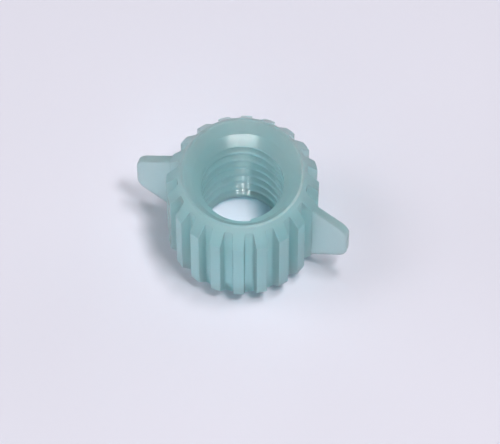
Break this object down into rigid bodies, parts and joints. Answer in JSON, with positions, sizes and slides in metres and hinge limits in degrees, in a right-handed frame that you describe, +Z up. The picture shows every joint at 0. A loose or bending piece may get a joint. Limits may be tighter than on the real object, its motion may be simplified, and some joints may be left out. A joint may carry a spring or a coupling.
{
  "type": "ribbed wing nut",
  "caption": "Moulded translucent plastic nut with straight grip ribs, flat wings on opposite sides, a funnel mouth and a coarse thread right through.",
  "frame": {"origin": "centre of the foot, on the thread's axis", "axes": "+Z up along the thread towards the funnel mouth, +X along the wings"},
  "size_m": [0.0364, 0.0244, 0.0227],
  "materials": {
    "milky_plastic": "milky translucent teal, satin sheen as moulded"
  },
  "bodies": {
    "root": {"winged_nut": "milky_plastic"}
  },
  "joints": []
}
